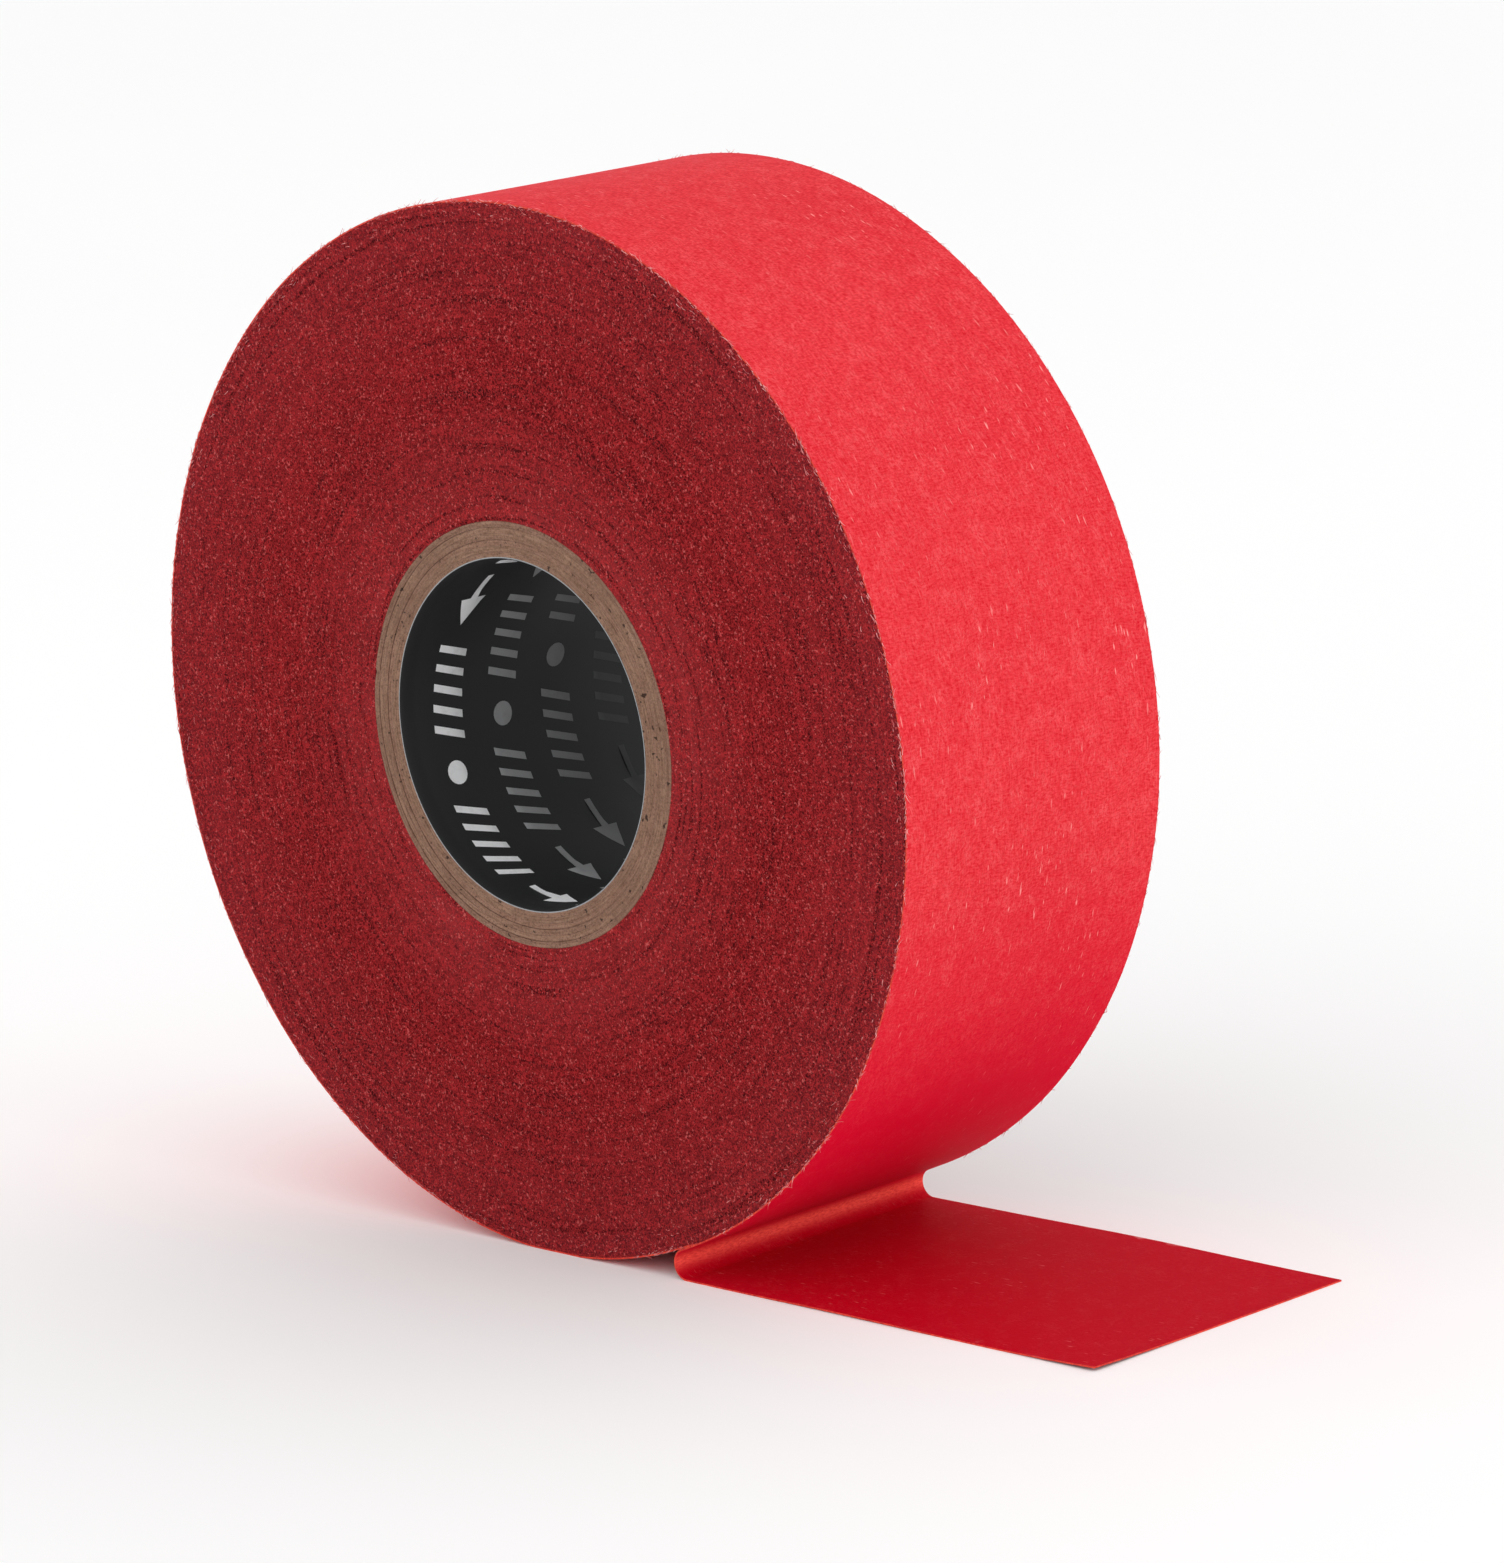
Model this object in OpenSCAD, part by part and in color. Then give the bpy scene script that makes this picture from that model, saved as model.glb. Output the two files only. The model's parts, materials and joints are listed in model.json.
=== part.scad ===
// Roll of adhesive cloth tape on a wound paperboard core, with its free end peeled off,
// folded back at the foot of the roll and laid flat along the ground.
// Y is the roll's axis, X points along the free end, Z is up. The origin is the bore's centre.

/* [Roll] */
// Radius of the full roll
roll_r = 57.5; // [45:0.5:90]
// Width of the tape, and of the roll
tape_w = 38; // [24:1:75]
// Thickness of one layer of tape
tape_t = 0.175; // [0.15:0.005:0.4]
// How far the soft roll flattens where it rests on the ground
rest_flat = 0.15; // [0.05:0.05:0.3]

/* [Core] */
// Radius of the hole through the core
bore_r = 19.05; // [12:0.05:30]
// Wall of the core, from the hole to the first layer of tape
core_wall = 4.15; // [2:0.05:6]
// Thickness of the printed paper that lines the hole
liner_t = 0.12; // [0.08:0.01:0.3]

/* [Free end] */
// Inside radius of the bend where the tape turns back on itself
fold_r = 1.6; // [0.8:0.1:3]
// Length of the tape that lies flat, from the bend to the cut end
tail_l = 59; // [30:0.5:120]

/* [Hidden] */
$fn = 180;

ply_count = 6;
glue_gap = 0.02;                            // glue line between two plies
bend_gap = 0.15;                            // slit where two stretches of tape hinge

core_r = bore_r + core_wall;
ply_t = (core_wall - liner_t) / ply_count;  // one ply with its glue line
ground_z = rest_flat - roll_r;              // the roll stands on this plane

// The bend's circle touches the last layer from outside and the ground from above.
bend_d = roll_r + fold_r;                   // from the roll's axis to the bend's axis
bend_z = ground_z + tape_t + fold_r;
bend_a = acos(-bend_z / bend_d);            // from straight down towards +X
bend_x = bend_d * sin(bend_a);
bend_cut = 2;                               // angle that parts the bend from the last layer
bend_out = fold_r + tape_t;                 // outside radius of the bend, which dips into the last layer
bend_dip = acos((bend_d ^ 2 + roll_r ^ 2 - bend_out ^ 2) / (2 * bend_d * roll_r));
wrap_cut = bend_dip + 0.4;                  // angle left open in the last layer for the bend to leave it

tail_parts = 3;
tail_pitch = tail_l / tail_parts;
tail_size = tail_pitch - bend_gap;

// A disc with its lowest part pressed flat
module rested_disc(r, flat_z) {
    intersection() {
        circle(r);
        translate([-r, flat_z]) square([2 * r, 2 * r - flat_z]);
    }
}

// A flat outline drawn in X and Z, as wide as the tape
module across_roll() {
    rotate([90, 0, 0]) linear_extrude(tape_w, center = true) children();
}

// A tube along the roll's axis
module tube(r_in, r_out) {
    across_roll() difference() {
        circle(r_out);
        circle(r_in);
    }
}

// Printed paper that lines the hole
module core_liner() {
    color([0.10, 0.10, 0.11]) tube(bore_r, bore_r + liner_t);
}

// One wound layer of the board, counted from the hole outwards
module core_ply(i) {
    r_in = bore_r + liner_t + (i - 1) * ply_t + glue_gap;
    r_out = bore_r + liner_t + i * ply_t;
    color([0.52 - 0.01 * (i % 2), 0.40, 0.33]) tube(r_in, r_out);
}

module core_ply_1() { core_ply(1); }
module core_ply_2() { core_ply(2); }
module core_ply_3() { core_ply(3); }
module core_ply_4() { core_ply(4); }
module core_ply_5() { core_ply(5); }
module core_ply_6() { core_ply(6); }

// All the layers of tape under the last one
module tape_winding() {
    color([0.45, 0.10, 0.11]) across_roll() difference() {
        rested_disc(roll_r - tape_t - glue_gap, ground_z + tape_t + glue_gap);
        circle(core_r + glue_gap);
    }
}

// A wedge from the roll's axis outwards, centred on an angle from straight down
module wedge(angle, spread) {
    far = 2 * roll_r;
    rotate(angle - 90) polygon([
        [0, 0],
        [far, -far * tan(spread / 2)],
        [far, far * tan(spread / 2)]
    ]);
}

// The last layer, open where the tape peels away from it
module outer_wrap() {
    color([0.90, 0.20, 0.24]) across_roll() difference() {
        rested_disc(roll_r, ground_z);
        rested_disc(roll_r - tape_t, ground_z + tape_t);
        wedge(bend_a - wrap_cut / 2, wrap_cut);
    }
}

// The tape's turn from the last layer round to the ground
module peel_fold() {
    color([0.84, 0.17, 0.19])
        translate([bend_x, 0, bend_z])
        rotate([90, 0, 0])
        translate([0, 0, -tape_w / 2])
        rotate([0, 0, 90 + bend_a + bend_cut])
        rotate_extrude(angle = 180 - bend_a - bend_cut)
        translate([fold_r, 0]) square([tape_t, tape_w]);
}

// One stretch of the free end, counted from the bend
module tail_stretch(i) {
    color([0.74 - 0.02 * i, 0.06, 0.14])
        translate([bend_x + (i - 1) * tail_pitch + bend_gap, -tape_w / 2, ground_z])
        cube([tail_size, tape_w, tape_t]);
}

module tail_root() { tail_stretch(1); }
module tail_mid() { tail_stretch(2); }
module tail_end() { tail_stretch(3); }

core_liner();
core_ply_1();
core_ply_2();
core_ply_3();
core_ply_4();
core_ply_5();
core_ply_6();
tape_winding();
outer_wrap();
peel_fold();
tail_root();
tail_mid();
tail_end();
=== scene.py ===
import json
import math

import bpy
import numpy as np
from mathutils import Matrix, Vector


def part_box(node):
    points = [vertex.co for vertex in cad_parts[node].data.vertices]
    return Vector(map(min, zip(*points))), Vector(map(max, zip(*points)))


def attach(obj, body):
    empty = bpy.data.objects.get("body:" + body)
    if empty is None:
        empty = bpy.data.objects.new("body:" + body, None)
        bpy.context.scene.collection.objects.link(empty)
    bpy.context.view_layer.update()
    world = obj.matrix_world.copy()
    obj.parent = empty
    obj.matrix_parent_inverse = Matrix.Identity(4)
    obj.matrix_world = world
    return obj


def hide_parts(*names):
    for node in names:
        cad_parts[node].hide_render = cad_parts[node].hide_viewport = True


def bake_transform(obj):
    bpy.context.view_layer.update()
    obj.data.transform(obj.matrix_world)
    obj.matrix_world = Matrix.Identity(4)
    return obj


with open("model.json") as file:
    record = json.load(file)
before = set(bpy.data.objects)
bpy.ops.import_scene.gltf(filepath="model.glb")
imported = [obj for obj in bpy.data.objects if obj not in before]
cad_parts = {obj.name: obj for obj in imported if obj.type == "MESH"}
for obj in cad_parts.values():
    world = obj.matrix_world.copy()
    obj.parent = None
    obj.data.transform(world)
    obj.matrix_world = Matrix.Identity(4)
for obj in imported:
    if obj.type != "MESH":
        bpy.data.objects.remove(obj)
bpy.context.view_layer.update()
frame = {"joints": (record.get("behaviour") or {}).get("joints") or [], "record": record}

MM = 0.001
TURN = 2 * math.pi

# ------------------------------------------------------------------ sizes read from the frame
HINGE = {j["name"]: Vector(j["pos_m"]) for j in frame["joints"]}
MOUNT = {m["name"]: m for m in frame["record"]["mounts"]}
WRAP_LOW, WRAP_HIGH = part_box("outer_wrap")
FOLD_LOW, FOLD_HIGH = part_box("peel_fold")
TAIL_LOW, TAIL_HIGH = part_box("tail_end")

ROLL_R = WRAP_HIGH.x
HALF_W = WRAP_HIGH.y
GROUND = WRAP_LOW.z
TAPE_T = TAIL_HIGH.z - TAIL_LOW.z
BORE_R = MOUNT["core_bore"]["dims"]["r_mm"] * MM
CORE_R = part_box("core_ply_6")[1].x
BEND_X = FOLD_HIGH.x
TAIL_X = TAIL_HIGH.x


# ------------------------------------------------------------------ meshes
def new_mesh(name, verts, faces, mats, face_mat=None, flow=None, painted_light=None, sharp=35):
    """A smooth-shaded mesh object. flow is a vector per vertex that patterns follow, and the next
    argument another that holds shares of painted shade and painted highlight there."""
    mesh = bpy.data.meshes.new(name)
    mesh.from_pydata([tuple(v) for v in verts], [], [tuple(f) for f in faces])
    for mat in mats:
        mesh.materials.append(mat)
    if face_mat is not None:
        mesh.polygons.foreach_set("material_index", np.asarray(face_mat, np.int32))
    for key, values in (("flow", flow), ("painted_light", painted_light)):
        if values is not None:
            data = mesh.attributes.new(key, "FLOAT_VECTOR", "POINT").data
            data.foreach_set("vector", np.asarray(values, np.float32).ravel())
    mesh.polygons.foreach_set("use_smooth", [True] * len(mesh.polygons))
    mesh.set_sharp_from_angle(angle=math.radians(sharp))
    mesh.validate()
    obj = bpy.data.objects.new(name, mesh)
    bpy.context.scene.collection.objects.link(obj)
    return obj


def grid_faces(rows, cols, start=0, close_rows=False, close_cols=False, flip=False):
    """Quads of a grid of vertices stored row by row."""
    i = np.arange(rows if close_rows else rows - 1)[:, None]
    j = np.arange(cols if close_cols else cols - 1)[None, :]
    i2 = (i + 1) % rows
    j2 = (j + 1) % cols
    quads = np.stack([i * cols + j, i2 * cols + j, i2 * cols + j2, i * cols + j2], -1)
    quads = quads.reshape(-1, 4) + start
    return quads[:, ::-1] if flip else quads


def waves(rng, count, low, high):
    """A smooth random function of one angle, built from whole waves so that it closes."""
    k = rng.integers(low, high + 1, count)
    phase = rng.uniform(0, TURN, count)
    size = rng.uniform(0.4, 1.0, count)
    size /= np.sqrt((size ** 2).sum() / 2)
    return lambda a: sum(s * np.sin(n * a + p) for s, n, p in zip(size, k, phase))


# ------------------------------------------------------------------ node materials
# Noise scales are in spots per metre, bump distances in metres, shares from 0 to 1, and rgb()
# takes a colour as a screen shows it.
class Shader:
    """A short way to write a node tree around one Principled shader."""

    def __init__(self, name, **sockets):
        self.mat = bpy.data.materials.new(name)
        self.mat.use_nodes = True
        self.tree = self.mat.node_tree
        self.tree.nodes.clear()
        self.out = self.add("ShaderNodeOutputMaterial")
        self.bsdf = self.add("ShaderNodeBsdfPrincipled")
        self.link(self.bsdf.outputs[0], self.out.inputs[0])
        for key, value in sockets.items():
            self.bsdf.inputs[key.replace("_", " ")].default_value = value

    def add(self, kind, **props):
        node = self.tree.nodes.new(kind)
        for key, value in props.items():
            setattr(node, key, value)
        return node

    def link(self, a, b):
        self.tree.links.new(a, b)

    def put(self, socket, value):
        if hasattr(value, "is_output"):
            self.link(value, socket)
        else:
            socket.default_value = value

    def attribute(self, name):
        return self.add("ShaderNodeAttribute", attribute_name=name).outputs["Vector"]

    def place(self):
        return self.add("ShaderNodeTexCoord").outputs["Object"]

    def scaled(self, vector, factors):
        node = self.add("ShaderNodeVectorMath", operation="MULTIPLY")
        self.put(node.inputs[0], vector)
        node.inputs[1].default_value = factors
        return node.outputs[0]

    def moved(self, vector, offset):
        node = self.add("ShaderNodeVectorMath", operation="ADD")
        self.put(node.inputs[0], vector)
        self.put(node.inputs[1], offset)
        return node.outputs[0]

    def noise(self, vector, scale, detail=2.0, rough=0.5):
        node = self.add("ShaderNodeTexNoise")
        self.put(node.inputs["Vector"], vector)
        node.inputs["Scale"].default_value = scale
        node.inputs["Detail"].default_value = detail
        node.inputs["Roughness"].default_value = rough
        return node.outputs["Fac"]

    def math(self, operation, a, b=0.0):
        node = self.add("ShaderNodeMath", operation=operation)
        self.put(node.inputs[0], a)
        self.put(node.inputs[1], b)
        return node.outputs[0]

    def split(self, vector):
        node = self.add("ShaderNodeSeparateXYZ")
        self.put(node.inputs[0], vector)
        return node.outputs

    def join(self, x, y, z):
        node = self.add("ShaderNodeCombineXYZ")
        for socket, value in zip(node.inputs, (x, y, z)):
            self.put(socket, value)
        return node.outputs[0]

    def spread(self, value, low, high, to_low=0.0, to_high=1.0):
        node = self.add("ShaderNodeMapRange")
        for key, v in (("Value", value), ("From Min", low), ("From Max", high),
                       ("To Min", to_low), ("To Max", to_high)):
            self.put(node.inputs[key], v)
        return node.outputs[0]

    def mix(self, fac, a, b):
        node = self.add("ShaderNodeMix", data_type="RGBA")
        self.put(node.inputs[0], fac)
        self.put(node.inputs[6], a)
        self.put(node.inputs[7], b)
        return node.outputs[2]

    def bump(self, height, distance, strength):
        node = self.add("ShaderNodeBump")
        self.put(node.inputs["Height"], height)
        node.inputs["Distance"].default_value = distance
        node.inputs["Strength"].default_value = strength
        return node.outputs[0]

    def threads(self, vector, scale, width, detail=3.0):
        """Thin curved lines, 1 on the line and 0 beside it."""
        field = self.noise(vector, scale, detail, 0.65)
        off = self.math("ABSOLUTE", self.math("SUBTRACT", field, 0.5))
        return self.spread(off, 0.0, width, 1.0, 0.0)

    def polar(self):
        """Radius, angle and depth of the shaded point about the roll's axis."""
        x, y, z = self.split(self.place())
        squares = self.math("ADD", self.math("MULTIPLY", x, x), self.math("MULTIPLY", z, z))
        return self.math("SQRT", squares), self.math("ARCTAN2", z, x), y

    def finish(self, color, rough, normal=None):
        self.put(self.bsdf.inputs["Base Color"], color)
        self.put(self.bsdf.inputs["Roughness"], rough)
        if normal is not None:
            self.link(normal, self.bsdf.inputs["Normal"])
        return self.mat


def rgb(r, g, b):
    """A colour given as it looks on a screen, from 0 to 255, turned into linear light."""
    def linear(c):
        c /= 255
        return c / 12.92 if c <= 0.04045 else ((c + 0.055) / 1.055) ** 2.4
    return (linear(r), linear(g), linear(b), 1.0)


def tape_back():
    """The tape's outer side: matt red with a fine fibrous weave. Painted shade deepens it to crimson
    towards the foot of the roll and darkens it on the free end, a painted highlight makes it paler
    orange-red along the bend, and its pale fibres are partly painted sheen."""
    s = Shader("tape_back", Sheen_Weight=0.005, Sheen_Roughness=0.4, Specular_IOR_Level=0.008)
    s.bsdf.inputs["Sheen Tint"].default_value = (1.0, 0.6, 0.6, 1.0)
    along, across, _ = s.split(s.attribute("flow"))
    tail, crease, foot = s.split(s.attribute("painted_light"))
    cloth = s.join(along, across, 0.0)
    warp = s.noise(cloth, 140.0, 2.0)
    bent = s.moved(cloth, s.scaled(s.join(warp, warp, 0.0), (0.0022, 0.0022, 0.0)))
    fibres = s.noise(s.scaled(bent, (1.0, 0.30, 1.0)), 5000.0, 3.0, 0.6)
    cross = s.noise(s.scaled(bent, (0.25, 1.0, 1.0)), 4400.0, 3.0, 0.6)
    weave = s.math("ADD", s.math("MULTIPLY", fibres, 0.6), s.math("MULTIPLY", cross, 0.4))
    threads = s.threads(s.scaled(bent, (0.6, 1.0, 1.0)), 1700.0, 0.05)
    mottle = s.noise(cloth, 420.0, 3.0, 0.6)
    broad = s.noise(cloth, 45.0, 2.0)
    # plain: lower where the foot and free end are painted in shade; it thins the pale fibres there
    plain = s.math("SUBTRACT", 1.0, s.math("MULTIPLY", s.math("MAXIMUM", tail, foot), 0.7))
    base = s.mix(s.spread(weave, 0.38, 0.62), rgb(206, 26, 38), rgb(237, 69, 77))
    base = s.mix(s.spread(mottle, 0.4, 0.75, 0.0, 0.20), base, rgb(240, 84, 88))
    base = s.mix(s.spread(broad, 0.35, 0.7, 0.0, 0.20), base, rgb(202, 6, 34))
    # painted shade: deeper crimson at the foot of the roll, where the surface turns down towards the
    # bend
    base = s.mix(s.math("MULTIPLY", foot, 0.92), base, rgb(222, 0, 48))
    # painted shade: the free end is painted darker red
    base = s.mix(s.math("MULTIPLY", tail, 0.94), base, rgb(183, 0, 26))
    # Pale loose threads and pale dashes: the cloth's fibres, partly painted sheen in place of the
    # grazing sheen and reflection kept low on the shader
    loose = s.math("MULTIPLY", threads, s.spread(mottle, 0.45, 0.65, 0.08, 0.30))
    base = s.mix(s.math("MULTIPLY", loose, plain), base, rgb(252, 132, 132))
    dashes = s.spread(s.noise(s.scaled(cloth, (0.22, 1.0, 1.0)), 2600.0, 1.0, 0.5), 0.68, 0.76)
    dashes = s.math("MULTIPLY", dashes, s.spread(broad, 0.45, 0.60, 0.05, 0.75))
    base = s.mix(s.math("MULTIPLY", dashes, plain), base, rgb(255, 160, 156))
    # painted highlight: the middle of the bend painted pale orange-red where it faces the light
    crease_highlight = s.math("MULTIPLY", crease, s.spread(fibres, 0.35, 0.6, 0.5, 1.0))
    base = s.mix(crease_highlight, base, rgb(255, 92, 80))
    edge = s.spread(s.math("ABSOLUTE", across), HALF_W - 1.6 * MM, HALF_W - 0.2 * MM)
    scuff = s.spread(s.noise(s.scaled(cloth, (1.0, 3.0, 1.0)), 170.0, 3.0, 0.7), 0.62, 0.72)
    scuff = s.math("MULTIPLY", s.math("MULTIPLY", scuff, edge), s.math("MULTIPLY", tail, 0.6))
    base = s.mix(scuff, base, rgb(236, 150, 152))
    rough = s.spread(weave, 0.3, 0.7, 0.50, 0.64)
    height = s.math("ADD", weave, s.math("MULTIPLY", mottle, 0.6))
    height = s.math("ADD", height, s.math("MULTIPLY", threads, 0.3))
    normal = s.bump(height, 0.00003, 0.6)
    return s.finish(base, rough, normal)


def tape_adhesive():
    """The tape's sticky side: a faint gloss, with the cloth's threads showing through."""
    s = Shader("tape_adhesive", Coat_Weight=0.04, Coat_Roughness=0.3, Specular_IOR_Level=0.12)
    along, across, _ = s.split(s.attribute("flow"))
    pitch = 1.1 * MM                     # from thread to thread
    warp = s.math("SINE", s.math("MULTIPLY", along, TURN / pitch))
    weft = s.math("SINE", s.math("MULTIPLY", across, TURN / pitch))
    threads = s.math("MAXIMUM", warp, weft)
    patch = s.noise(s.attribute("flow"), 320.0, 3.0, 0.6)
    base = s.mix(s.spread(threads, -0.2, 1.0), rgb(150, 30, 34), rgb(186, 62, 60))
    base = s.mix(s.spread(patch, 0.4, 0.7, 0.0, 0.5), base, rgb(128, 22, 28))
    rough = s.spread(patch, 0.3, 0.7, 0.30, 0.5)
    return s.finish(base, rough, s.bump(s.math("ADD", threads, patch), 0.00004, 0.5))


def tape_edge():
    """The cut edges of the wound tape: hundreds of layers with fibre ends standing out."""
    s = Shader("tape_edge", Specular_IOR_Level=0.05)
    place = s.place()
    radius, angle, _ = s.polar()
    turns = s.noise(s.join(radius, s.math("MULTIPLY", angle, 0.0016), 0.0), 2300.0, 2.0, 0.6)
    bands = s.noise(s.join(radius, s.math("MULTIPLY", angle, 0.0025), 0.0), 420.0, 3.0, 0.6)
    arcs = s.noise(s.join(radius, s.math("MULTIPLY", angle, 0.0010), 3.0), 1500.0, 1.5, 0.6)
    cloud = s.noise(place, 48.0, 3.0, 0.55)
    color = s.mix(s.spread(cloud, 0.32, 0.68), rgb(91, 5, 9), rgb(112, 13, 18))
    near_core = s.spread(radius, CORE_R, CORE_R + 13 * MM, 0.48, 0.0)
    color = s.mix(s.math("MULTIPLY", near_core, s.spread(cloud, 0.3, 0.6, 0.4, 1.0)), color,
                  rgb(160, 62, 66))
    near_rim = s.spread(radius, ROLL_R - 16.0 * MM, ROLL_R, 0.0, 0.50)
    color = s.mix(near_rim, color, rgb(118, 38, 46))
    color = s.mix(s.spread(bands, 0.36, 0.60, 0.40, 0.0), color, rgb(92, 10, 14))
    color = s.mix(s.spread(turns, 0.28, 0.44, 0.60, 0.0), color, rgb(78, 8, 12))
    color = s.mix(s.spread(arcs, 0.60, 0.70, 0.0, 0.30), color, rgb(168, 44, 46))
    color = s.mix(s.spread(arcs, 0.37, 0.43, 0.85, 0.0), color, rgb(60, 2, 6))
    pits = s.noise(place, 3000.0, 2.0, 0.6)
    color = s.mix(s.spread(pits, 0.34, 0.46, 0.60, 0.0), color, rgb(56, 2, 5))
    fibres = s.threads(place, 2700.0, 0.08)
    gate = s.spread(s.noise(place, 1500.0, 2.0, 0.6), 0.38, 0.62, 0.50, 0.90)
    color = s.mix(s.math("MULTIPLY", fibres, gate), color, rgb(198, 50, 54))
    sparks = s.noise(s.moved(place, (0.2, 0.4, 0.1)), 3400.0, 1.0, 0.5)
    color = s.mix(s.spread(sparks, 0.64, 0.72, 0.0, 0.6), color, rgb(224, 104, 102))
    height = s.math("ADD", fibres, s.math("ADD", pits, s.math("MULTIPLY", turns, 0.8)))
    return s.finish(color, 0.78, s.bump(height, 0.00008, 0.6))


def fuzz():
    """Loose fibres along the cut rims."""
    s = Shader("fuzz", Specular_IOR_Level=0.2)
    tint = s.noise(s.place(), 900.0, 2.0, 0.5)
    color = s.mix(s.spread(tint, 0.35, 0.65), rgb(196, 62, 66), rgb(240, 168, 166))
    return s.finish(color, 0.7, s.bump(tint, 0.00001, 0.2))


def strip_edge_highlight():
    """The cut edge of the last turn, painted bright orange-red: a painted highlight where the
    thin edge catches the light.
    """
    s = Shader("strip_edge_highlight", Specular_IOR_Level=0.3)
    speck = s.noise(s.place(), 2600.0, 2.0, 0.6)
    color = s.mix(s.spread(speck, 0.35, 0.65), rgb(190, 32, 24), rgb(232, 70, 48))
    return s.finish(color, 0.6, s.bump(speck, 0.00004, 0.5))


def board_end(name, tone):
    """The end of one wound ply of grey-brown paperboard. tone is its middle colour on a screen."""
    s = Shader(name, Specular_IOR_Level=0.18)
    place = s.place()
    radius, angle, _ = s.polar()
    rings = s.noise(s.join(radius, s.math("MULTIPLY", angle, 0.0022), 0.0), 4200.0, 3.0, 0.6)
    coarse = s.noise(s.join(radius, s.math("MULTIPLY", angle, 0.005), 0.0), 1500.0, 2.0, 0.5)
    hatch = s.threads(place, 1900.0, 0.10)
    flecks = s.noise(place, 4200.0, 2.0, 0.6)
    stain = s.noise(place, 110.0, 2.0, 0.5)
    pores = s.noise(s.moved(place, (0.3, 0.1, 0.2)), 1500.0, 1.0, 0.5)
    contrast = 14
    dark = rgb(*(c - contrast for c in tone))
    light = rgb(*(c + contrast for c in tone))
    color = s.mix(s.spread(rings, 0.34, 0.66), dark, light)
    color = s.mix(s.spread(coarse, 0.55, 0.75, 0.0, 0.30), color, rgb(176, 138, 114))
    color = s.mix(s.math("MULTIPLY", hatch, 0.30), color, rgb(184, 144, 120))
    color = s.mix(s.spread(flecks, 0.32, 0.48, 0.55, 0.0), color, rgb(84, 58, 46))
    color = s.mix(s.spread(stain, 0.42, 0.66, 0.0, 0.30), color, rgb(110, 80, 64))
    color = s.mix(s.spread(pores, 0.70, 0.74, 0.0, 0.85), color, rgb(40, 26, 20))
    height = s.math("ADD", rings, s.math("ADD", flecks, s.math("MULTIPLY", hatch, 0.4)))
    return s.finish(color, 0.85, s.bump(height, 0.00007, 0.6))


def liner_black():
    """Satin black printing paper inside the core, painted a little lighter near the bore's front end
    and darker deeper in as painted shade.
    """
    s = Shader("liner_black", Specular_IOR_Level=0.25)
    place = s.place()
    tooth = s.noise(place, 2400.0, 2.0, 0.5)
    haze = s.noise(place, 60.0, 2.0, 0.5)
    _, depth, _ = s.split(place)
    color = s.mix(s.spread(haze, 0.3, 0.7), rgb(17, 17, 18), rgb(26, 26, 27))
    # painted shade: lighter grey near the front end of the bore, fading to black deeper in
    color = s.mix(s.spread(depth, -HALF_W, 0.25 * HALF_W, 0.75, 0.0), color, rgb(40, 40, 41))
    rough = s.spread(haze, 0.3, 0.7, 0.5, 0.6)
    return s.finish(color, rough, s.bump(tooth, 0.00002, 0.3))


def liner_rim():
    """The pale cut edge of the lining paper."""
    s = Shader("liner_rim", Specular_IOR_Level=0.3)
    speck = s.noise(s.place(), 3000.0, 2.0, 0.5)
    color = s.mix(speck, rgb(120, 122, 124), rgb(178, 180, 182))
    return s.finish(color, 0.6, s.bump(speck, 0.00002, 0.4))


def liner_ink():
    """Pale printed marks, painted darker with depth in the bore as painted shade."""
    s = Shader("liner_ink", Specular_IOR_Level=0.25)
    place = s.place()
    _, depth, _ = s.split(place)
    wear_and_painted_light = s.noise(place, 900.0, 3.0, 0.6)
    # painted shade: the print is painted white near the front end, grey further in and near black deep
    # in the bore
    lit_until, half_shade_at, full_shade_at = -0.66 * HALF_W, -0.32 * HALF_W, 0.55 * HALF_W
    color = s.mix(s.spread(depth, lit_until, half_shade_at), rgb(250, 251, 252), rgb(150, 151, 152))
    color = s.mix(s.spread(depth, half_shade_at, full_shade_at), color, rgb(46, 46, 47))
    color = s.mix(s.spread(wear_and_painted_light, 0.5, 0.8, 0.0, 0.18), color, rgb(60, 60, 61))
    return s.finish(color, 0.6, s.bump(wear_and_painted_light, 0.00001, 0.3))


def floor_paper():
    """A plain pale studio floor."""
    s = Shader("floor_paper", Specular_IOR_Level=0.05)
    cloud = s.noise(s.place(), 3.0, 2.0, 0.5)
    return s.finish(s.mix(cloud, (0.955, 0.955, 0.955, 1.0), (0.975, 0.975, 0.975, 1.0)), 0.9)


BACK = tape_back()
GLUE = tape_adhesive()
EDGE = tape_edge()
LAST_EDGE = strip_edge_highlight()


# ------------------------------------------------------------------ where the tape leaves the roll
FOLD_R = FOLD_HIGH.x - FOLD_LOW.x - TAPE_T          # inside radius of the bend in the CAD
SOFT_R = FOLD_R - 0.02 * MM                         # drawn a little tighter, to leave a straight run
BEND_Z = GROUND + TAPE_T + SOFT_R
BEND_D = math.hypot(BEND_X, BEND_Z)
RUN = math.sqrt(BEND_D ** 2 - (ROLL_R + SOFT_R) ** 2)   # straight run between roll and bend
BEND_A = math.atan2(BEND_Z, BEND_X)                 # direction of the bend's axis from the roll's
PEEL_A = BEND_A + math.atan2(RUN, ROLL_R + SOFT_R)  # where the tape leaves the roll
STEP_SPAN = math.radians(26)                        # over this angle the last turn slides under itself
CUT_WANDER = 0.012 * MM                             # how far the slit edges of the tape wander
CUT_WAVE = 3.1 * MM
CUT_PHASE = 8.5


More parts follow.
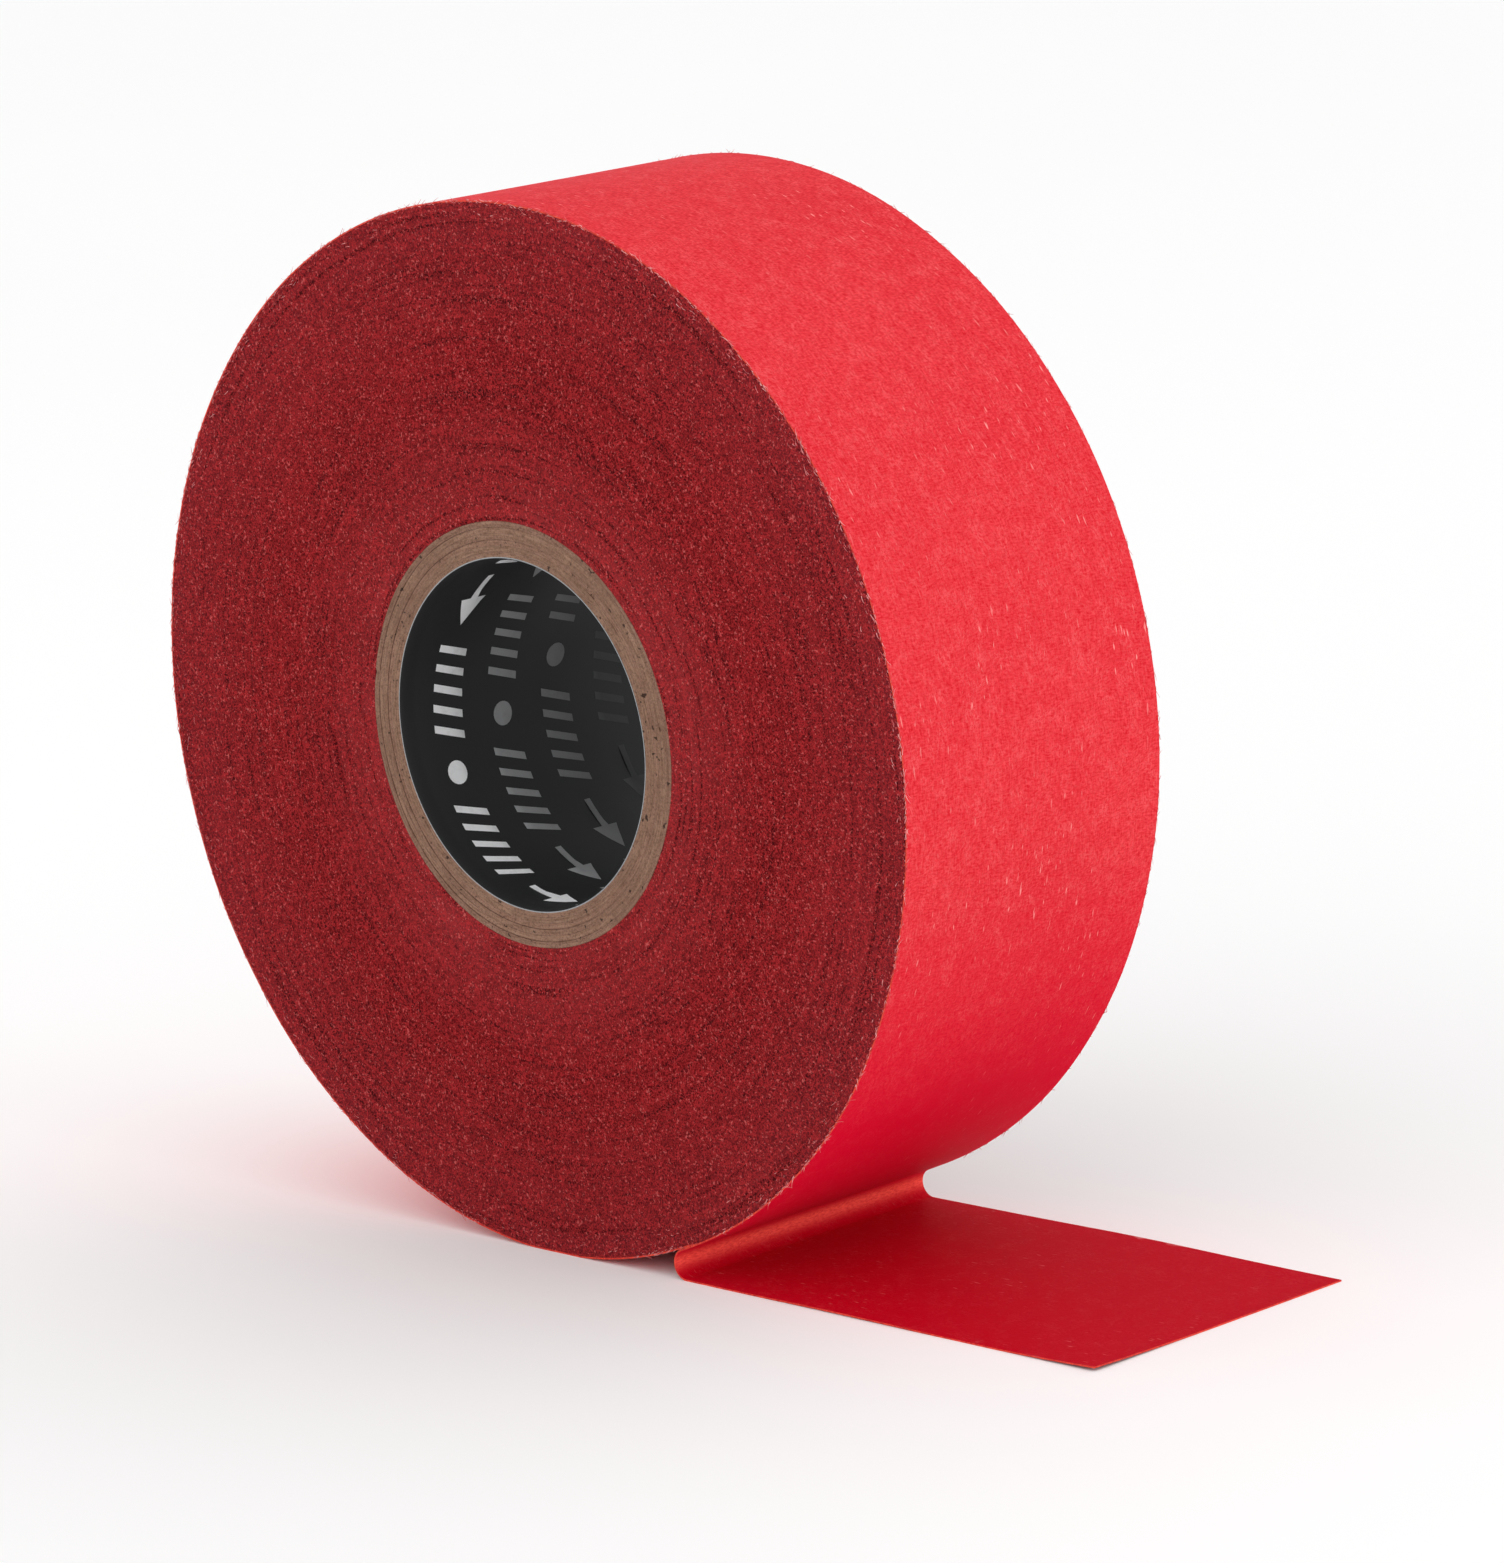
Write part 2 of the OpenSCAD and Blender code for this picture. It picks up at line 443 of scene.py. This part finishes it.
# ------------------------------------------------------------------ the wound roll
def turn_radius(angle):
    """Outer radius of the roll at an angle, with the step where the last turn begins. The angle
    runs from PEEL_A upwards round the roll to PEEL_A + TURN."""
    past = np.clip((angle - (PEEL_A + TURN - STEP_SPAN)) / STEP_SPAN, 0, 1)
    return ROLL_R - TAPE_T * past * past * (3 - 2 * past)


def on_ground(points):
    """Points of the roll's outline, pressed flat where they would go below the ground."""
    return np.stack([points[:, 0], np.maximum(points[:, 1], GROUND)], -1)


def wound_layers():
    """All the turns under the last one, with each small group of turns standing at its own height."""
    rng = np.random.default_rng(11)
    rings, parts = 96, 360
    under_wrap, off_core = 0.01 * MM, 0.03 * MM
    angle = PEEL_A + TURN * np.arange(parts) / parts
    outer = turn_radius(angle) - TAPE_T - under_wrap
    share = np.linspace(0, 1, rings)
    inner = CORE_R + off_core
    radius = inner + share[:, None] * (outer - inner)[None, :]
    x = radius * np.cos(angle)
    z = radius * np.sin(angle)
    z = np.maximum(z, GROUND + TAPE_T + (1 - share[:, None]) * (outer - inner)[None, :])
    sides = []
    for side in (-1, 1):
        # heights in mm: each group's own step, fine ripples, a slow sag, a dish and the rim's bevel
        step = rng.normal(0, 0.018, rings)
        proud = rng.random(rings) < 0.10
        step[proud] += rng.uniform(0.03, 0.09, proud.sum()) * rng.choice([-1, 1], proud.sum())
        relief = np.zeros((rings, parts))
        for i in range(rings):
            fade = 0.55 + 0.45 * waves(rng, 3, 1, 5)(angle)
            relief[i] = step[i] * fade + 0.006 * waves(rng, 5, 20, 70)(angle)
        sag = waves(rng, 3, 1, 3)(angle)
        relief += 0.03 * sag[None, :] * np.sin(math.pi * share)[:, None]
        dish = 0.05 * np.sin(2.2 * math.pi * share)[:, None]
        bevel = -0.05 * (np.arange(rings)[:, None] == rings - 1)
        sides.append(side * (HALF_W + (relief + dish + bevel) * MM))
    front = np.stack([x, sides[0], z], -1).reshape(-1, 3)
    back = np.stack([x, sides[1], z], -1).reshape(-1, 3)
    n = rings * parts
    faces = [grid_faces(rings, parts, 0, close_cols=True),
             grid_faces(rings, parts, n, close_cols=True, flip=True)]
    ring = np.arange(parts)
    nxt = (ring + 1) % parts
    last = (rings - 1) * parts
    rim = np.stack([last + ring, n + last + ring, n + last + nxt, last + nxt], -1)
    hole = np.stack([ring, nxt, n + nxt, n + ring], -1)
    faces += [rim, hole]
    kinds = [0] * (len(faces[0]) * 2) + [1] * parts + [0] * parts
    verts = np.concatenate([front, back])
    flow = np.stack([np.tile(angle * ROLL_R, rings * 2), verts[:, 1], np.zeros(2 * n)], -1)
    # the layers' outer faces take the foot's painted shade in full
    painted_light = np.tile((0.0, 0.0, 1.0), (2 * n, 1))
    obj = new_mesh("tape_layers", verts, np.concatenate(faces), [EDGE, BACK], kinds, flow, painted_light)
    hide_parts("tape_winding")
    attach(obj, "roll")


def strip(name, line, normal, along, painted_light, lift):
    """A length of tape. line is the run of its outer side in X and Z, normal points out of that
    side, along is the length so far, the next argument has three shares from 0 to 1 of painted
    light for each point (painted shade on the free end, a painted highlight along the bend and
    painted shade at the foot of the roll), and lift moves points out of the side by a height."""
    rows, columns = len(line), 40
    y = HALF_W * np.sin(np.linspace(-math.pi / 2, math.pi / 2, columns))
    grid_a, grid_y = np.meshgrid(along, y, indexing="ij")
    height = lift(grid_a, grid_y)
    near_edge = (np.abs(grid_y) / HALF_W) ** 6
    wander = CUT_WANDER * np.sin(grid_a / CUT_WAVE + CUT_PHASE) * near_edge
    top = np.stack([line[:, None, 0] + normal[:, None, 0] * height,
                    grid_y + wander * np.sign(grid_y),
                    line[:, None, 1] + normal[:, None, 1] * height], -1)
    under = top.copy()
    under[..., 0] -= normal[:, None, 0] * TAPE_T
    under[..., 2] -= normal[:, None, 1] * TAPE_T
    under[..., 2] = np.maximum(under[..., 2], GROUND)
    n = rows * columns
    verts = np.concatenate([top.reshape(-1, 3), under.reshape(-1, 3)])
    index = np.arange(n).reshape(rows, columns)
    up = grid_faces(rows, columns)
    down = grid_faces(rows, columns, n, flip=True)
    left = np.stack([index[:-1, 0], n + index[:-1, 0], n + index[1:, 0], index[1:, 0]], -1)
    right = np.stack([index[:-1, -1], index[1:, -1], n + index[1:, -1], n + index[:-1, -1]], -1)
    first = np.stack([index[0, :-1], index[0, 1:], n + index[0, 1:], n + index[0, :-1]], -1)
    final = np.stack([index[-1, :-1], n + index[-1, :-1], n + index[-1, 1:], index[-1, 1:]], -1)
    groups = [(up, 0), (down, 1), (left, 2), (right, 2), (first, 2), (final, 2)]
    faces = np.concatenate([g for g, _ in groups])
    kinds = np.concatenate([[k] * len(g) for g, k in groups])
    flow = np.stack([grid_a, grid_y, np.zeros_like(grid_a)], -1).reshape(-1, 3)
    # the shares of painted shade and painted highlight, repeated across the strip
    wear_and_painted_light = np.repeat(painted_light[:, None, :], columns, 1).reshape(-1, 3)
    return new_mesh(name, verts, faces, [BACK, GLUE, LAST_EDGE], kinds,
                    np.concatenate([flow, flow]), np.concatenate([wear_and_painted_light, wear_and_painted_light]))


def bell(value, middle, width):
    """1 at the middle, falling smoothly to 0 on both sides."""
    return np.exp(-((value - middle) / width) ** 2)


def outline(points):
    """Unit normals to the left of a run of points, and the length so far."""
    step = np.gradient(points, axis=0)
    step /= np.linalg.norm(step, axis=1)[:, None]
    normal = np.stack([-step[:, 1], step[:, 0]], -1)
    gap = np.linalg.norm(np.diff(points, axis=0), axis=1)
    return normal, np.concatenate([[0], np.cumsum(gap)])


def last_turn():
    """The outermost turn: out from under itself, round the roll to where the tape leaves it, and
    half of the short straight run down to the bend."""
    parts = 540
    slit = 0.001                         # angle left open where the turn meets itself
    angle = np.linspace(PEEL_A + TURN - slit, PEEL_A, parts)
    radius = turn_radius(angle)
    points = np.stack([radius * np.cos(angle), radius * np.sin(angle)], -1)
    out = np.stack([np.cos(angle), np.sin(angle)], -1)
    points = on_ground(points)
    heading = np.array([math.sin(PEEL_A), -math.cos(PEEL_A)])
    run = np.linspace(0, RUN / 2, 4)[1:, None] * heading
    points = np.concatenate([points, points[-1] + run])
    out = np.concatenate([out, np.repeat(out[-1:], len(run), 0)])
    gap = np.linalg.norm(np.diff(points, axis=0), axis=1)
    along = np.concatenate([[0], np.cumsum(gap)]) - gap.sum()
    rng = np.random.default_rng(3)
    ripple = waves(rng, 4, 5, 17)
    slow = waves(rng, 3, 2, 6)

    def lift(a, y):
        """Slight waves, none where the turn starts and where it leaves the roll."""
        turn = a / ROLL_R
        calm_end, calm_start = 6 * MM, 20 * MM
        calm = np.clip(-a / calm_end, 0, 1) * np.clip((a - along[0]) / calm_start, 0, 1)
        return calm * MM * (0.018 * ripple(turn + 6 * y) + 0.02 * slow(turn - 3 * y))

    zero = np.zeros_like(along)
    # painted shade: the foot share deepens the red to crimson over the last stretch before the tape
    # leaves the roll
    foot_from, foot_full = -56 * MM, -26 * MM           # lengths before the tape leaves the roll
    foot = np.clip((along - foot_from) / (foot_full - foot_from), 0, 1)
    obj = strip("last_turn", points, out, along, np.stack([zero, zero, foot], -1), lift)
    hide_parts("outer_wrap")
    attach(obj, "roll")


def rim_fuzz():
    """Short loose fibres that stand up from the cut rims of the outer turns."""
    rng = np.random.default_rng(31)
    per_side, steps, sides = 1900, 5, 3
    clear_of_ground = 1.5 * MM
    verts, faces = [], []
    around = TURN * np.arange(sides) / sides
    tube = grid_faces(steps, sides, close_cols=True)
    for side in (-1, 1):
        for _ in range(per_side):
            at = rng.uniform(PEEL_A + 0.06, PEEL_A + TURN - 0.03)
            depth = rng.exponential(0.50 * MM)
            length = rng.uniform(0.3, 0.9) * MM
            out, axial = rng.uniform(-0.1, 0.5), rng.uniform(0.0, 0.35)
            turn_by = rng.choice([-1, 1])
            curl = rng.uniform(-1.2, 1.2)
            thick = rng.uniform(0.028, 0.060) * MM
            radial = np.array([math.cos(at), 0, math.sin(at)])
            ahead = turn_by * np.array([-math.sin(at), 0, math.cos(at)])
            start = radial * (turn_radius(at) - depth) + np.array([0, side * HALF_W, 0])
            if start[2] < GROUND + clear_of_ground:
                continue
            share = np.linspace(0, 1, steps)[:, None]
            path = (start + ahead * length * share
                    + radial * length * (out * share + 0.3 * curl * share ** 2)
                    + np.array([0, side, 0]) * length * (axial * share - 0.25 * share ** 2))
            radius = thick * (1 - 0.7 * share)
            rings = (path[:, None, :]
                     + radius[:, None] * np.cos(around)[None, :, None] * radial
                     + radius[:, None] * np.sin(around)[None, :, None] * np.array([0, side, 0]))
            base = len(verts)
            verts += list(rings.reshape(-1, 3))
            faces += (tube + base).tolist()
            faces += [[base + i for i in range(sides)],
                      [base + (steps - 1) * sides + i for i in reversed(range(sides))]]
    obj = new_mesh("rim_fuzz", verts, faces, [fuzz()])
    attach(obj, "roll")


wound_layers()
last_turn()
rim_fuzz()


# ------------------------------------------------------------------ the free end
def free_end():
    """The bend and the flat stretch, as one run of tape in three pieces.
    Each piece ends half way between two hinges, where nothing bends."""
    heading = np.array([math.sin(PEEL_A), -math.cos(PEEL_A)])
    start = ROLL_R * np.array([math.cos(PEEL_A), math.sin(PEEL_A)])
    center = np.array([BEND_X, BEND_Z])
    straight = start + np.linspace(RUN / 2, RUN, 5)[:, None] * heading
    first = math.atan2(*(straight[-1] - center)[::-1])
    bend = np.linspace(first, 1.5 * math.pi, 33)[1:]
    arc = center + SOFT_R * np.stack([np.cos(bend), np.sin(bend)], -1)
    flat_x = np.linspace(BEND_X, TAIL_X, 181)[1:]
    flat = np.stack([flat_x, np.full(len(flat_x), GROUND + TAPE_T)], -1)
    points = np.concatenate([straight, arc, flat])
    normal, along = outline(points)
    along += RUN / 2
    on_flat = points[:, 0] > BEND_X
    # tail: the share of the free end's painted shade, rising over darkens_over past the straight run
    darkens_over = 3.2 * MM
    tail = np.clip((along - RUN) / darkens_over, 0, 1)
    # crease: where the painted highlight lies along the bend
    crease = bell(along, RUN + 1.1 * SOFT_R, 0.5 * SOFT_R)
    # the whole free end takes the foot's painted shade in full
    painted_light = np.stack([tail, crease, np.ones_like(along)], -1)
    flat_at = along[np.argmax(on_flat)]
    length = along[-1] - flat_at

    def lift(a, y):
        """How far the flat stretch stands off the ground: a low rise, a curled corner and waves."""
        s = np.clip((a - flat_at) / length, 0, 1)
        side = y / HALF_W
        rise = 0.10 * np.sin(math.pi * s) ** 2 * (1 + 0.6 * side)
        corner = 0.35 * np.clip((s - 0.72) / 0.28, 0, 1) ** 2 * np.clip(-side, 0, 1) ** 2
        wave = 0.05 * np.sin(9 * s + 2.3 * side) * np.sin(math.pi * s)
        return MM * np.maximum(rise + corner + wave, 0)

    cuts = [HINGE["tail_bend_1"].x / 2 + HINGE["tail_peel"].x / 2,
            HINGE["tail_bend_2"].x / 2 + HINGE["tail_bend_1"].x / 2]
    index = [int(np.argmin(np.abs(points[:, 0] - c) + 1.0 * ~on_flat)) for c in cuts]
    spans = [(0, index[0] + 1), (index[0], index[1] + 1), (index[1], len(points))]
    names = ["tail_bend", "tail_middle", "tail_tip"]
    pieces = []
    for name, (a, b) in zip(names, spans):
        piece = strip(name, points[a:b], normal[a:b], along[a:b], painted_light[a:b], lift)
        pieces.append(piece)
    bend_piece, middle, tip = pieces
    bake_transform(bend_piece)
    for piece, pair, hinge in ((middle, ("tail_root", "tail_mid"), "tail_bend_1"),
                               (tip, ("tail_mid", "tail_end"), "tail_bend_2")):
        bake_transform(piece)
    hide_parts("peel_fold", "tail_root")
    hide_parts("tail_mid")
    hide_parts("tail_end")


free_end()


# ------------------------------------------------------------------ the core
def ring_profile(name, profile, parts, mats, kinds, notch=None):
    """A closed ring turned about Y from a closed outline of (radius, y), whose stretches have the
    materials in kinds. An optional notch function moves the outline's points at an angle."""
    profile = np.asarray(profile, float)
    angle = TURN * np.arange(parts) / parts
    radius = np.repeat(profile[None, :, 0], parts, 0)
    y = np.repeat(profile[None, :, 1], parts, 0)
    if notch is not None:
        radius, y = notch(angle[:, None], radius, y)
    verts = np.stack([radius * np.cos(angle)[:, None], y, radius * np.sin(angle)[:, None]], -1)
    faces = grid_faces(parts, len(profile), close_rows=True, close_cols=True)
    return new_mesh(name, verts.reshape(-1, 3), faces, mats, list(kinds) * parts)


def core_board():
    """The plies, each with uneven layers of paper at its ends and a joint where its strip meets
    itself."""
    rng = np.random.default_rng(23)
    tones = [(140, 108, 90), (130, 100, 82), (136, 103, 86),
             (126, 95, 78), (134, 102, 84), (128, 96, 80)]
    apart_by, rows = 0.02 * MM, 7
    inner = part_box("core_liner")[1].x + apart_by
    for i, tone in enumerate(tones, start=1):
        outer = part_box(f"core_ply_{i}")[1].x
        r = np.linspace(inner, outer, rows)
        ends = []
        for side in (-1, 1):
            # heights in mm: uneven layers, every other ply lower, both its corners worn down
            level = rng.normal(0, 0.025, rows) - (0.04 if i % 2 else 0.0)
            level[0] -= 0.2 if i == 1 else 0.03
            level[-1] -= 0.04
            ends.append(side * (HALF_W + level * MM))
        front = list(zip(r, ends[0]))
        back = list(zip(r[::-1], ends[1][::-1]))
        seam_at = rng.uniform(0, TURN, 2)
        ripple = [waves(rng, 4, 8, 40) for _ in range(2)]

        def notch(angle, radius, y, seam_at=seam_at, ripple=ripple):
            """A short dip at the joint and a faint ripple, on the front and on the back."""
            for side, at, wave in zip((-1, 1), seam_at, ripple):
                here = np.sign(y) == side
                apart = np.abs((angle - at + math.pi) % TURN - math.pi)
                dip = 0.22 * np.clip(1 - apart / 0.022, 0, 1)
                y = y - here * side * MM * (dip - 0.010 * wave(angle))
            return radius, y

        mat = board_end(f"board_{i}", tone)
        kinds = [0] * len(front + back)
        ply = ring_profile(f"core_board_{i}", front + back, 300, [mat], kinds, notch)
        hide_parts(f"core_ply_{i}")
        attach(ply, "roll")
        inner = outer + apart_by


def core_lining():
    """The printed paper in the bore, turned slightly outwards at its two ends."""
    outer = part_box("core_liner")[1].x
    flare = 0.16 * MM
    lip = 0.26 * MM
    y = np.linspace(-HALF_W + lip, HALF_W - lip, 20)
    inside = [(BORE_R + flare, -HALF_W)] + [(BORE_R, v) for v in y] + [(BORE_R + flare, HALF_W)]
    outside = [(outer + flare, HALF_W)] + [(outer, v) for v in y[::-1]] + [(outer + flare, -HALF_W)]
    kinds = [0] * (len(inside) - 1) + [1] + [0] * (len(outside) - 1) + [1]
    obj = ring_profile("core_lining", inside + outside, 240, [liner_black(), liner_rim()], kinds)
    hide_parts("core_liner")
    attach(obj, "roll")


def mark_outlines():
    """Plain marks on a flat strip, in mm: thin slanted bars, a dot, more bars and an arrow along
    the strip. Returns their outlines and the length of one repeat."""
    bar_w, bar_h, lean, pitch = 0.85, 4.2, 1.3, 2.3
    gap = 2.1

    def bars(x, count):
        return [[(x + i * pitch, -bar_h / 2), (x + i * pitch + bar_w, -bar_h / 2),
                 (x + i * pitch + bar_w + lean, bar_h / 2), (x + i * pitch + lean, bar_h / 2)]
                for i in range(count)], x + (count - 1) * pitch + bar_w + lean

    def dot(x, r):
        turn = [TURN * i / 20 for i in range(20)]
        return [(x + r + r * math.cos(a), r * math.sin(a)) for a in turn], x + 2 * r

    def arrow(x, length, half, shaft):
        neck = x + length - 2.2 * half
        return [(x, -shaft), (neck, -shaft), (neck, -half), (x + length, 0.0),
                (neck, half), (neck, shaft), (x, shaft)], x + length

    shapes, at = bars(0.0, 5)
    spot, at = dot(at + gap, 1.35)
    more, at = bars(at + gap, 5)
    head, at = arrow(at + gap, 7.8, 1.75, 0.42)
    return shapes + [spot] + more + [head], at + gap


def lining_marks():
    """The marks printed along a helix, each a thin film just off the paper. The helix starts
    behind the back end and winds towards the front. Marks that reach an end are left out."""
    shapes, period = mark_outlines()
    film = (BORE_R - 0.012 * MM, BORE_R - 0.002 * MM)   # the radius of its two sides
    start = math.radians(96)
    rise = 8.0 * MM                      # along the axis in one turn
    first_y = -HALF_W + 6.3 * MM + 4.3 * rise
    last_y = HALF_W - 0.7 * MM
    around = TURN * BORE_R
    repeats = int(5.2 * around / (period * MM))
    verts, faces = [], []
    for group in range(repeats):
        for shape in shapes:
            points = []
            for u, v in refine(shape, 0.8):
                s = (group * period + u) * MM
                points.append((start + s / BORE_R, first_y - rise * s / around + v * MM))
            if max(abs(y) for _, y in points) > last_y:
                continue
            base, k = len(verts), len(points)
            for r in film:
                verts += [(r * math.cos(a), y, r * math.sin(a)) for a, y in points]
            low = list(range(base, base + k))
            high = [i + k for i in low]
            faces += [low, high[::-1]]
            for i, j in zip(range(k), [*range(1, k), 0]):
                faces.append([low[i], high[i], high[j], low[j]])
    obj = new_mesh("lining_marks", verts, faces, [liner_ink()])
    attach(obj, "roll")


def refine(shape, step):
    """The outline with its long sides cut into short ones, so that it can follow the bore."""
    out = []
    for (x0, y0), (x1, y1) in zip(shape, shape[1:] + shape[:1]):
        n = max(1, int(math.hypot(x1 - x0, y1 - y0) / step))
        out += [(x0 + (x1 - x0) * i / n, y0 + (y1 - y0) * i / n) for i in range(n)]
    return out


core_board()
core_lining()
lining_marks()


# ------------------------------------------------------------------ studio
def panel(name, place, size, power):
    """A soft rectangular lamp that faces the bore's centre. Sizes in metres, power in watts."""
    light = bpy.data.lights.new(name, "AREA")
    light.shape = "RECTANGLE"
    light.size, light.size_y = size
    light.energy = power
    lamp = bpy.data.objects.new(name, light)
    lamp.location = place
    lamp.rotation_euler = (-Vector(place)).to_track_quat("-Z", "Y").to_euler()
    bpy.context.scene.collection.objects.link(lamp)


def studio():
    """A wide pale floor under an even white sky, with three weak lamps."""
    half = 4.0                           # metres
    corners = [(-half, -half), (half, -half), (half, half), (-half, half)]
    floor = new_mesh("studio_floor", [(x, y, GROUND) for x, y in corners],
                     [(0, 1, 2, 3)], [floor_paper()])
    world = bpy.data.worlds.new("studio")
    world.use_nodes = True
    sky = world.node_tree.nodes["Background"]
    sky.inputs["Color"].default_value = (1.0, 1.0, 1.0, 1.0)
    sky.inputs["Strength"].default_value = 1.0
    bpy.context.scene.world = world
    bpy.context.scene.view_settings.view_transform = "Standard"
    panel("key_right", (0.80, 0.12, 0.12), (0.5, 0.4), 1.1)
    panel("top_soft", (-0.10, 0.35, 0.75), (0.6, 0.6), 0.1)
    panel("front_left", (-0.55, -0.75, 0.35), (0.6, 0.6), 0.4)


def camera():
    """The photograph's view: from the front right and a little above, with a long lens."""
    azimuth, elevation, roll = (math.radians(v) for v in (46.18, 11.97, -3.78))
    aim = Vector((15.4 * MM, 0, -7.1 * MM))
    distance = 750.2 * MM
    level = math.cos(elevation)
    back = Vector((math.sin(azimuth) * level, -math.cos(azimuth) * level, math.sin(elevation)))
    side = Vector((0, 0, 1)).cross(back).normalized()
    up = back.cross(side)
    x = side * math.cos(roll) + up * math.sin(roll)
    y = back.cross(x)
    data = bpy.data.cameras.new("camera")
    data.lens = 161.2
    data.sensor_width = 36
    data.clip_start = 0.05
    data.clip_end = 20
    cam = bpy.data.objects.new("camera", data)
    turn = Matrix((x, y, back)).transposed().to_4x4()
    cam.matrix_world = Matrix.Translation(aim + back * distance) @ turn
    bpy.context.scene.collection.objects.link(cam)
    bpy.context.scene.camera = cam


studio()
camera()
